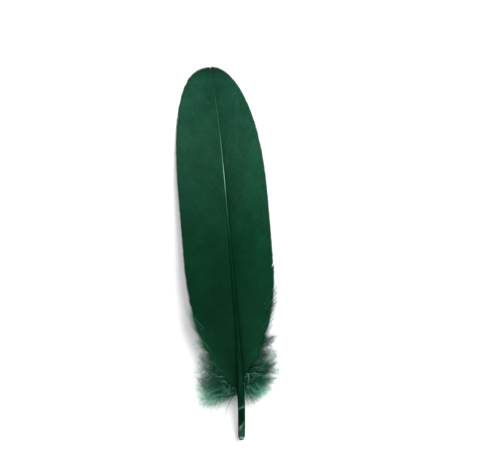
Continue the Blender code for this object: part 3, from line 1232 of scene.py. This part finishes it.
@dataclass(frozen=True)
class DyedVane:
    """Keratin barbs hooked in a flat web and dyed deep green.

    The close, even ribs scatter light into a soft satin, paler where the eye
    grazes them, and the dye took a little unevenly from barb to barb. Its colour
    also holds painted shade and light, and a painted sheen and highlight on the
    right vane.

    Attributes:
        dye_and_shade: the dye's colours along the feather, partly painted shade that darkens them
        towards the quill and at the very tip.
        zones, run_shade_span, run_shade_tones: greys for how light a barb is along its run, with
        painted shade just out from the shaft, their range, and what it turns to.
        right_painted_light, right_painted_light_span: how much painted light brightens the right
        vane outward, and where.
        on_right: where the right vane starts, past the shaft.
        right_low_sheen: the greyer colour of a painted sheen low on the right vane, where painted
        light also makes it a little lighter.
        loose, rim: the colours of loosened barbs and of the painted highlight on the right rim.
        dot, dot_size: the colour of rare pale dots, and their radius by their spacing.
        streak_barbs, streak_run: the size of a streak, in barbs and in mm along them.
        mottles: the patches, coarse to fine; the finest also changes the roughness.
    """

    name: str = "dyed_vane_keratin"
    # Partly dye and partly painted shade: darker towards the quill and at the very tip.
    dye_and_shade: Stops = (
        (0.14, "#002613"), (0.27, "#002a18"), (0.40, "#002a18"), (0.55, "#04311f"),
        (0.80, "#16412f"), (0.96, "#154331"), (0.985, "#0e3525"),
    )
    # Painted shade: a barb is darker just out from the shaft, where the shaft shades the vane.
    run_shades: Stops = (
        (0.018, "#dedede"), (0.046, "#a9a9a9"), (0.3, "#b6b6b6"), (0.75, "#c6c6c6"),
        (0.96, "#c6c6c6"), (1.0, "#d8d8d8"),
    )
    run_shade_span: Pair = (0.38, 0.60)
    run_shade_tones: Pair = (0.90, 1.12)
    # Painted light on the right vane: lighter outward.
    right_painted_light_span: Pair = (1.0 * MM, 17.0 * MM)
    right_painted_light: float = 1.26
    on_right: Pair = (0.5 * MM, 5.0 * MM)
    # A painted sheen: the grey that gloss would add, low on the right vane.
    right_low_sheen: str = "#183f2d"
    right_low_sheen_share: float = 0.22
    right_low_sheen_fade: Pair = (0.36, 0.50)
    # Painted light low on the right vane.
    right_low_painted_light: float = 0.12
    right_painted_light_fade: Pair = (0.27, 0.42)
    loose: str = "#327158"
    loose_fade: Pair = (0.18, 0.33)
    loose_shares: Stops = (
        (0.15, "#000000"), (0.5, "#4c4c4c"), (0.88, "#757575"), (1.0, "#c4c4c4"),
    )
    # A painted highlight along the right vane's rim.
    rim: str = "#3f7d65"
    rim_highlight_shares: Stops = ((0.965, "#000000"), (1.0, "#b0b0b0"))
    dot: str = "#6d9b86"
    dot_share: float = 0.7
    dot_size: float = 0.028
    dot_spacing: float = 13.0 * MM
    dot_rareness: float = 0.55
    streak_barbs: float = 3.0
    streak_run: float = 9.0
    streak_swing: float = 0.13
    mottles: tuple[Mottle, ...] = (
        Mottle(9.0 * MM, 0.4, 0.18), Mottle(2.2 * MM, 1.6, 0.12), Mottle(0.7 * MM, 0.0, 0.15),
    )
    noise_detail: float = 3.0
    noise_span: Pair = (0.25, 0.75)
    roughness: float = 0.55
    roughness_span: Pair = (0.3, 0.7)
    roughness_swing: float = 0.06
    ior: float = 1.54
    gloss: float = 0.04
    sheen: float = 0.014
    sheen_roughness: float = 0.35
    sheen_tint: str = "#9fd8be"
    see_through: float = 0.12

    def build(self, form: FeatherForm) -> bpy.types.Material:
        """Makes the material.

        Args:
            form: the feather's form, for the change of the dye and its painted shade along it.

        Returns:
            The new material.
        """
        material, tree = bare_material(self.name)
        place = add_node(tree, "TexCoord", out="Object")
        parts = add_node(tree, "SeparateXYZ", (place,), out=None)
        ends = (form.quill_y, form.quill_y + form.length)
        along = add_node(tree, "MapRange", (parts["Y"], *ends))
        on_right = add_node(tree, "MapRange", (parts["X"], *self.on_right))
        facts = add_node(tree, "Attribute", out="Vector", attribute_name="facts")
        outward = add_node(tree, "SeparateXYZ", (facts,), out="Z")
        # Painted light: the right vane gets lighter outward, and low down.
        right = (parts["X"], *self.right_painted_light_span, 1.0, self.right_painted_light)
        right = add_node(tree, "MapRange", right, interpolation_type="SMOOTHSTEP")
        low = add_node(tree, "MapRange", (along, *self.right_painted_light_fade, self.right_low_painted_light, 0.0))
        low = add_node(tree, "Math", (low, on_right, 1.0), operation="MULTIPLY_ADD")
        fine, tone = self.tone(tree, place, facts, outward, [right, low])
        # The dye along the feather, with its painted shade.
        dye = add_node(tree, "ValToRGB", (along,), stops=self.dye_and_shade)
        colour = add_node(tree, "VectorMath", {0: dye, "Scale": tone}, operation="SCALE")
        for share, code in self.layers(tree, place, along, outward, on_right):
            layer = {0: share, 6: colour, 7: linear(code)}
            colour = add_node(tree, "Mix", layer, out=2, data_type="RGBA")
        low, high = self.roughness - self.roughness_swing, self.roughness + self.roughness_swing
        roughness = add_node(tree, "MapRange", (fine, *self.roughness_span, low, high))
        surface = add_node(tree, "BsdfPrincipled", {
            "Base Color": colour, "Roughness": roughness, "IOR": self.ior,
            "Specular IOR Level": self.gloss, "Sheen Weight": self.sheen,
            "Sheen Roughness": self.sheen_roughness, "Sheen Tint": linear(self.sheen_tint),
        })
        glow = add_node(tree, "BsdfTranslucent", (colour,))
        both = add_node(tree, "MixShader", (self.see_through, surface, glow))
        add_node(tree, "OutputMaterial", (both,), out=None)
        return material

    def tone(
        self, tree: bpy.types.NodeTree, place: Any, facts: Any, outward: Any, gains: list[Any]
    ) -> tuple[Any, Any]:
        """How light the colour is: painted shade along a barb, its streaks and its mottles.

        Args:
            tree: the material's node tree.
            place: the place on the object.
            facts: the run in mm, the barb's number and the share of the run.
            outward: the share of a barb's run.
            gains: what else the tone is scaled by: the painted light on the right vane.

        Returns:
            The finest mottle's noise, and the tone that the colour is scaled by.
        """
        stretch = (1.0 / self.streak_run, 1.0 / self.streak_barbs, 0.0)
        streak = add_node(tree, "VectorMath", (facts, stretch), operation="MULTIPLY")
        streak = {"Vector": streak, "Scale": 1.0, "Detail": self.noise_detail}
        streak = add_node(tree, "TexNoise", streak)
        swings = [(streak, self.streak_swing)]
        for mottle in self.mottles:
            noise = add_node(tree, "TexNoise", {
                "Vector": place, "Scale": 1.0 / mottle.size, "Detail": self.noise_detail,
                "Distortion": mottle.bend,
            })
            swings.append((noise, mottle.swing))
        # Painted shade beside the shaft, by the share of the barb's run.
        tone = add_node(tree, "ValToRGB", (outward,), stops=self.run_shades)
        tone = add_node(tree, "MapRange", (tone, *self.run_shade_span, *self.run_shade_tones), clamp=False)
        for source, swing in swings:
            part = (source, *self.noise_span, 1.0 - swing, 1.0 + swing)
            gains.append(add_node(tree, "MapRange", part, clamp=False))
        for gain in gains:
            tone = add_node(tree, "Math", (tone, gain), operation="MULTIPLY")
        return noise, tone

    def layers(
        self, tree: bpy.types.NodeTree, place: Any, along: Any, outward: Any, on_right: Any
    ) -> tuple[tuple[Any, str], ...]:
        """The colours that lie over the dye, lowest first: a painted sheen low on the right
        vane, pale dots, loosened barbs and a painted highlight on the right rim.

        Args:
            tree: the material's node tree.
            place: the place on the object.
            along: the share of the feather's length.
            outward: the share of a barb's run.
            on_right: 1 on the right vane and 0 on the left one.

        Returns:
            The share that shows of each, and its colour.
        """
        # Painted sheen low on the right vane.
        grey = (along, *self.right_low_sheen_fade, self.right_low_sheen_share, 0.0)
        grey = add_node(tree, "MapRange", grey)
        grey = add_node(tree, "Math", (grey, on_right), operation="MULTIPLY")
        dots = {"Vector": place, "Scale": 1.0 / self.dot_spacing, "Randomness": 1.0}
        dots = add_node(tree, "TexVoronoi", dots, out=None)
        dot = (dots["Distance"], 0.5 * self.dot_size, self.dot_size, self.dot_share, 0.0)
        dot = add_node(tree, "MapRange", dot)
        rare = (dots["Color"], self.dot_rareness)
        rare = add_node(tree, "Math", rare, operation="GREATER_THAN")
        dot = add_node(tree, "Math", (dot, rare), operation="MULTIPLY")
        foot = add_node(tree, "MapRange", (along, *self.loose_fade, 1.0, 0.0))
        loose = add_node(tree, "ValToRGB", (outward,), stops=self.loose_shares)
        loose = add_node(tree, "Math", (foot, loose), operation="MULTIPLY")
        # Painted highlight on the right vane's rim.
        rim = add_node(tree, "ValToRGB", (outward,), stops=self.rim_highlight_shares)
        rim = add_node(tree, "Math", (rim, on_right), operation="MULTIPLY")
        return (grey, self.right_low_sheen), (dot, self.dot), (loose, self.loose), (rim, self.rim)


@dataclass(frozen=True)
class Scuff:
    """A slanted place on the quill where the dye has worn thin.

    Attributes:
        place: its middle, in mm from the quill's end.
        width: how long it is along the quill, in mm.
        slant: how far it runs up from the left flank to the right one, in mm.
        colour: the colour that shows there.
        share: how much of that colour shows.
        fray: how ragged its rim is, in mm.
        rim: how far from the middle its rim starts and ends, as shares of the width.
        noise_span: the noise's range over which the dye is worn off.
        least: the share of it that shows even where the noise is low.
    """

    place: float
    width: float
    slant: float
    colour: str
    share: float
    fray: float = 2.0
    rim: Pair = (0.1, 0.9)
    noise_span: Pair = (0.40, 0.60)
    least: float = 0.15

    def add(self, tree: bpy.types.NodeTree, under: Any, along: Any, across: Any, noise: Any) -> Any:
        """Lays the scuff over a colour.

        Args:
            tree: the material's node tree.
            under: the colour so far.
            along: the distance from the quill's end in mm.
            across: -1 at the left flank to 1 at the right one.
            noise: a noise that frays the scuff's rim.

        Returns:
            The new colour's output.
        """
        slant = (across, -0.5 * self.slant, along)
        level = add_node(tree, "Math", slant, operation="MULTIPLY_ADD")
        ragged = add_node(tree, "Math", (noise, 2.0 * self.fray, level), operation="MULTIPLY_ADD")
        away = add_node(tree, "Math", (ragged, self.place + self.fray), operation="SUBTRACT")
        away = add_node(tree, "Math", (away,), operation="ABSOLUTE")
        inner, outer = self.rim
        near = (away, inner * self.width, outer * self.width, 1.0, 0.0)
        near = add_node(tree, "MapRange", near)
        worn = (noise, *self.noise_span, self.least * self.share, self.share)
        worn = add_node(tree, "MapRange", worn)
        shown = add_node(tree, "Math", (near, worn), operation="MULTIPLY")
        layer = {0: shown, 6: under, 7: linear(self.colour)}
        return add_node(tree, "Mix", layer, out=2, data_type="RGBA")


@dataclass(frozen=True)
class DyedQuill:
    """Solid keratin with a smooth, hard skin, dyed nearly black green.

    It shines in a narrow line along its top, and in the upper half a painted
    highlight lies along the crest. The dye has missed a few scuffed places near
    the end. Painted shade darkens the flanks near the end and the right flank in
    the upper half, and painted light lightens the flanks further up.

    Attributes:
        dye_and_shade: the dye's colours along the feather, partly painted shade, darker low on the
            shaft
        and lighter towards the tip.
        flanks, flank_shade_span: how light painted shade and light make the flanks, low and high,
            and
        where that changes.
        crown_span: the heights in the section between which the flank turns to the top.
        right_shade: how much painted shade darkens the right flank high up.
        grain_stretch: how far the fine grain is drawn out along the shaft.
        crest, crest_highlight_shares: the colour of the painted highlight on the crest, and greys
            for how
        much of it shows.
        crest_highlight_span: the heights in the section between which the painted highlight sets
            in.
    """

    name: str = "dyed_quill_keratin"
    # Partly dye and partly painted shade: darker low on the shaft, lighter towards the tip.
    dye_and_shade: Stops = (
        (0.10, "#002314"), (0.14, "#092a1b"), (0.22, "#052516"), (0.34, "#022012"),
        (0.48, "#022113"), (0.60, "#062c1c"), (0.80, "#1c4a35"),
    )
    # Painted shade on the flanks near the quill's end, painted light on them further up.
    flanks: Pair = (0.3, 1.6)
    flank_shade_span: Pair = (0.14, 0.30)
    crown_span: Pair = (0.45, 0.95)
    right_shade: float = 0.8
    right_shade_along: Pair = (0.56, 0.68)
    right_shade_across: Pair = (0.0, 0.6)
    scuff_size: float = 0.9 * MM
    scuff_detail: float = 4.0
    grain_size: float = 0.7 * MM
    grain_detail: float = 2.0
    grain_stretch: float = 0.12
    grain_span: Pair = (0.3, 0.7)
    grain_swing: float = 0.30
    # A painted highlight: the pale line along the shaft's crest.
    crest: str = "#6a9782"
    crest_highlight_shares: Stops = (
        (0.55, "#000000"), (0.62, "#707070"), (0.645, "#747474"), (0.665, "#b4b4b4"),
        (0.70, "#ffffff"), (0.725, "#f3f3f3"), (0.745, "#aaaaaa"), (0.79, "#adadad"),
        (0.815, "#757575"), (0.85, "#656565"), (0.877, "#707070"), (0.93, "#000000"),
    )
    crest_highlight_span: Pair = (0.83, 0.97)
    roughness: float = 0.40
    ior: float = 1.54
    gloss: float = 0.01
    coat: float = 0.003
    coat_roughness: float = 0.12
    scuffs: tuple[Scuff, ...] = (
        Scuff(3.2, 3.4, 0.8, "#1f6047", 0.85),
        Scuff(5.4, 1.5, -1.0, "#4b7c66", 0.60, 1.0),
        Scuff(7.0, 1.1, 3.6, "#5f8f79", 0.85, 1.2),
        Scuff(1.1, 0.9, -0.3, "#8fa89d", 1.00, 0.3),
        Scuff(15.9, 0.75, 1.3, "#649380", 0.90, 1.6),
        Scuff(17.3, 1.5, 0.6, "#1c5a43", 0.50),
        Scuff(23.2, 0.45, 0.1, "#000d07", 0.90, 0.15),
    )

    def build(self, form: FeatherForm) -> bpy.types.Material:
        """Makes the material.

        Args:
            form: the feather's form, for its length.

        Returns:
            The new material.
        """
        material, tree = bare_material(self.name)
        place = add_node(tree, "TexCoord", out="Object")
        facts = add_node(tree, "Attribute", out="Vector", attribute_name="facts")
        parts = add_node(tree, "SeparateXYZ", (facts,), out=None)
        along, crown, across = parts["X"], parts["Y"], parts["Z"]
        share = add_node(tree, "MapRange", (along, 0.0, form.length / MM))
        skin = add_node(tree, "ValToRGB", (share,), stops=self.dye_and_shade)
        noise = {"Vector": place, "Scale": 1.0 / self.scuff_size, "Detail": self.scuff_detail}
        noise = add_node(tree, "TexNoise", noise)
        for scuff in self.scuffs:
            skin = scuff.add(tree, skin, along, across, noise)
        body = self.body(tree, place, share, crown, across)
        skin = add_node(tree, "VectorMath", {0: skin, "Scale": body}, operation="SCALE")
        # Painted highlight along the crest in the upper half.
        top = (crown, *self.crest_highlight_span)
        top = add_node(tree, "MapRange", top, interpolation_type="SMOOTHSTEP")
        crest = add_node(tree, "ValToRGB", (share,), stops=self.crest_highlight_shares)
        crest = add_node(tree, "Math", (crest, top), operation="MULTIPLY")
        layer = {0: crest, 6: skin, 7: linear(self.crest)}
        colour = add_node(tree, "Mix", layer, out=2, data_type="RGBA")
        surface = add_node(tree, "BsdfPrincipled", {
            "Base Color": colour, "Roughness": self.roughness, "IOR": self.ior,
            "Specular IOR Level": self.gloss, "Coat Weight": self.coat,
            "Coat Roughness": self.coat_roughness,
        })
        add_node(tree, "OutputMaterial", (surface,), out=None)
        return material

    def body(
        self, tree: bpy.types.NodeTree, place: Any, share: Any, crown: Any, across: Any
    ) -> Any:
        """The painted shade and light round the section and along the shaft, and the grain.

        Args:
            tree: the material's node tree.
            place: the place on the object.
            share: the share of the feather's length.
            crown: the height in the section, 0 at the flanks and 1 at the top.
            across: -1 at the left flank to 1 at the right one.

        Returns:
            The output that the colour is scaled by.
        """
        # Painted shade and light on the flanks, by the height in the section.
        flank = add_node(tree, "MapRange", (share, *self.flank_shade_span, *self.flanks))
        body = (crown, *self.crown_span, flank, 1.0)
        body = add_node(tree, "MapRange", body, interpolation_type="SMOOTHSTEP")
        stretch = (1.0, self.grain_stretch, 1.0)
        grain = add_node(tree, "VectorMath", (place, stretch), operation="MULTIPLY")
        grain = {"Vector": grain, "Scale": 1.0 / self.grain_size, "Detail": self.grain_detail}
        grain = add_node(tree, "TexNoise", grain)
        swing = (1.0 - self.grain_swing, 1.0 + self.grain_swing)
        grain = add_node(tree, "MapRange", (grain, *self.grain_span, *swing))
        # Painted shade on the right flank in the upper half.
        upper = add_node(tree, "MapRange", (share, *self.right_shade_along, 0.0, self.right_shade))
        shade = add_node(tree, "MapRange", (across, *self.right_shade_across, 0.0, upper))
        shade = add_node(tree, "Math", (1.0, shade), operation="SUBTRACT")
        for part in (grain, shade):
            body = add_node(tree, "Math", (body, part), operation="MULTIPLY")
        return body


@dataclass(frozen=True)
class DyedDown:
    """Loose keratin filaments, dyed green and far thinner than a hair.

    Each lets light through and tints it, so the down is dark where it is thick
    and fades to a pale, clear green haze at its edge.

    Attributes:
        dye_and_shade: the dye's colours along a downy barb, darkened at the root by painted shade
            under the vane.
        barb, barb_highlight_share: the colour of the pale strands, partly a painted highlight, and
            how much
        of it they take.
        tones: how light the darkest and the palest strand are.
    """

    name: str = "dyed_down_keratin"
    # Partly painted shade: darker at the root, where the vane shades the down.
    dye_and_shade: Stops = ((0.05, "#003822"), (0.35, "#005637"), (0.65, "#0a7455"), (1.0, "#6fac95"))
    # Partly a painted highlight: the pale strands that catch the light.
    barb: str = "#92c8b2"
    barb_highlight_share: float = 0.8
    tones: Pair = (0.30, 1.85)
    roughness: float = 0.6
    gloss: float = 0.03
    see_through: float = 0.42

    def build(self) -> bpy.types.Material:
        """Makes the material.

        Returns:
            The new material.
        """
        material, tree = bare_material(self.name)
        facts = add_node(tree, "Attribute", out="Vector", attribute_name="facts")
        parts = add_node(tree, "SeparateXYZ", (facts,), out=None)
        dye = add_node(tree, "ValToRGB", (parts["X"],), stops=self.dye_and_shade)
        tone = add_node(tree, "MapRange", (parts["Y"], -1.0, 1.0, *self.tones))
        # Pale strands, partly a painted highlight.
        pale = add_node(tree, "Math", (parts["Z"], self.barb_highlight_share), operation="MULTIPLY")
        layer = {0: pale, 6: dye, 7: linear(self.barb)}
        dye = add_node(tree, "Mix", layer, out=2, data_type="RGBA")
        colour = add_node(tree, "VectorMath", {0: dye, "Scale": tone}, operation="SCALE")
        surface = add_node(tree, "BsdfPrincipled", {
            "Base Color": colour, "Roughness": self.roughness, "Specular IOR Level": self.gloss,
        })
        glow = add_node(tree, "BsdfTranslucent", (colour,))
        both = add_node(tree, "MixShader", (self.see_through, surface, glow))
        add_node(tree, "OutputMaterial", (both,), out=None)
        return material


@dataclass(frozen=True)
class PaperTable:
    """A white paper sweep: matt, and brighter than the photograph can record."""

    name: str = "white_paper"
    colour: str = "#fdfdfd"
    size: float = 2.2
    height: float = -0.1 * MM
    roughness: float = 0.9

    def build(self) -> bpy.types.Object:
        """Makes the table and marks it as the stage.

        Returns:
            The table.
        """
        half = 0.5 * self.size
        mesh = bpy.data.meshes.new("table")
        corners = [(-half, -half), (half, -half), (half, half), (-half, half)]
        mesh.from_pydata([(x, y, self.height) for x, y in corners], [], [(0, 1, 2, 3)])
        material = bpy.data.materials.new(self.name)
        material.use_nodes = True
        shader = material.node_tree.nodes["Principled BSDF"]
        shader.inputs["Base Color"].default_value = linear(self.colour)
        shader.inputs["Roughness"].default_value = self.roughness
        mesh.materials.append(material)
        table = bpy.data.objects.new("table", mesh)
        bpy.context.scene.collection.objects.link(table)
        table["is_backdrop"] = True
        return table


@dataclass(frozen=True)
class Lamp:
    """A round soft light that faces the feather."""

    name: str
    power: float
    size: float
    place: tuple[float, float, float]

    def build(self) -> None:
        """Hangs the lamp."""
        data = bpy.data.lights.new(self.name, "AREA")
        data.shape = "DISK"
        data.size = self.size
        data.energy = self.power
        lamp = bpy.data.objects.new(self.name, data)
        lamp.location = self.place
        lamp.rotation_euler = (-lamp.location).to_track_quat("-Z", "Y").to_euler()
        bpy.context.scene.collection.objects.link(lamp)


@dataclass(frozen=True)
class Studio:
    """The camera that looks straight down, and soft light from the sides.

    Attributes:
        image: the photograph's size in pixels.
        quill_pixel, tip_pixel: where the feather's two ends are in it.
        sky: the light from round about and from overhead.
    """

    image: Pair = (500.0, 476.0)
    quill_pixel: Pair = (241.5, 439.7)
    tip_pixel: Pair = (210.0, 66.0)
    camera_height: float = 0.9
    sensor: float = 36.0
    sky: Stops = ((0.3, "#ffffff"), (0.75, "#484848"))
    sky_strength: float = 1.4
    lamps: tuple[Lamp, ...] = (
        Lamp("key", 14.8, 1.0, (0.60, 0.35, 0.62)),
        Lamp("fill", 5.6, 1.3, (-0.80, 0.10, 0.60)),
    )

    def build(self, form: FeatherForm) -> None:
        """Makes the camera, the lamps and the sky.

        Args:
            form: the feather's form, which the camera is framed on.
        """
        self.camera(form)
        self.lights()

    def camera(self, form: FeatherForm) -> None:
        """Puts the camera where the feather's ends fall on their pixels.

        Args:
            form: the feather's form, whose ends those are.
        """
        left = self.tip_pixel[0] - self.quill_pixel[0]
        up = self.quill_pixel[1] - self.tip_pixel[1]
        roll = math.atan2(left, up)
        scale = form.length / math.hypot(left, up)
        right_by = (0.5 * self.image[0] - self.quill_pixel[0]) * scale
        up_by = (self.quill_pixel[1] - 0.5 * self.image[1]) * scale
        x = form.quill_x + right_by * math.cos(roll) - up_by * math.sin(roll)
        y = form.quill_y + right_by * math.sin(roll) + up_by * math.cos(roll)
        data = bpy.data.cameras.new("camera")
        data.sensor_width = self.sensor
        data.lens = self.sensor * self.camera_height / (self.image[0] * scale)
        data.dof.use_dof = False
        camera = bpy.data.objects.new("camera", data)
        camera.location = (x, y, self.camera_height)
        camera.rotation_euler = (0.0, 0.0, roll)
        bpy.context.scene.collection.objects.link(camera)
        bpy.context.scene.camera = camera

    def lights(self) -> None:
        """Makes the lamps, and a sky that is white round the sides and dim overhead."""
        world = bpy.data.worlds.new("studio")
        world.use_nodes = True
        tree = world.node_tree
        toward = add_node(tree, "TexCoord", out="Generated")
        up = add_node(tree, "SeparateXYZ", (toward,), out="Z")
        sky = add_node(tree, "ValToRGB", (up,), stops=self.sky)
        background = tree.nodes["Background"]
        background.inputs["Strength"].default_value = self.sky_strength
        tree.links.new(sky, background.inputs["Color"])
        bpy.context.scene.world = world
        for lamp in self.lamps:
            lamp.build()


SPLITS = {
    Side.LEFT: (
        Split(0.165, 0.70, 0.9 * MM), Split(0.20, 0.76, 0.8 * MM), Split(0.24, 0.86, 0.6 * MM),
        Split(0.67, 0.95, 0.35 * MM),
    ),
    Side.RIGHT: (
        Split(0.215, 0.80, 0.7 * MM), Split(0.33, 0.90, 0.7 * MM), Split(0.79, 0.95, 0.35 * MM),
    ),
}
DOWN_ROWS = (
    DownRow("hind", Side.LEFT, 72, (0.131, 0.180), (20.5 * MM, 21.0 * MM), (117.0, 94.0),
            (-75.0, -10.0)),
    DownRow("fore", Side.LEFT, 72, (0.165, 0.260), (19.5 * MM, 19.5 * MM), (104.0, 62.0),
            (-60.0, 20.0), shade=0.4),
    DownRow("hind", Side.RIGHT, 72, (0.153, 0.188), (10.5 * MM, 20.0 * MM), (148.0, 101.0),
            (-80.0, 5.0), shade=-0.2),
    DownRow("fore", Side.RIGHT, 72, (0.170, 0.260), (18.5 * MM, 18.5 * MM), (108.0, 62.0),
            (-60.0, 20.0), shade=1.2),
    DownRow("stray", Side.LEFT, 1, (0.131, 0.131), (24.5 * MM, 24.5 * MM), (133.0, 133.0),
            (66.0, 70.0), 40, 0.3 * MM, 0.32 * MM, paleness=0.2, waviness=0.2),
    DownRow("stray", Side.RIGHT, 11, (0.148, 0.160), (11.0 * MM, 17.0 * MM), (170.0, 138.0),
            (-30.0, 12.0), 60, 1.2 * MM, 0.22 * MM, paleness=0.35, shade=-0.3, waviness=0.6),
)
LOOSE_ROWS = (
    DownRow("loose", Side.LEFT, 36, (0.133, 0.225), (0.3 * MM, 3.4 * MM), barbules=40,
            barbule_length=1.4 * MM, thickness=0.18 * MM, paleness=0.30, shade=0.1),
    DownRow("loose", Side.RIGHT, 36, (0.160, 0.280), (0.2 * MM, 3.4 * MM), barbules=40,
            barbule_length=1.3 * MM, thickness=0.17 * MM, paleness=0.20, shade=0.4),
)


def write_sizes() -> None:
    """Writes the solid's box and the visual model's box."""
    low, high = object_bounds()
    boxes = {"cad": [list(CAD_LOW), list(CAD_HIGH)], "visual": [list(low), list(high)]}
    for name, (low, high) in boxes.items():
        log.info("%s box: %s to %s mm", name, *[[round(c / MM, 2) for c in p] for p in (low, high)])


def main() -> None:
    """Builds the feather, then the studio round it."""
    logging.basicConfig(level=logging.INFO, format="%(name)s: %(message)s")
    bpy.context.scene.view_settings.view_transform = "Standard"
    form = form_from_frame()
    vane_finish = DyedVane().build(form)
    down_finish = DyedDown().build()
    seat(Shaft(form).build(), DyedQuill().build(form))
    for side in Side:
        seat(Vane(form, side, SPLITS[side]).build(), vane_finish)
    for row in DOWN_ROWS:
        seat(Down(form, row).build(), down_finish)
    for row in LOOSE_ROWS:
        seat(LooseBarbs(form, row).build(), down_finish)
    PaperTable().build()
    Studio().build(form)
    write_sizes()


if __name__ == "__main__":
    main()
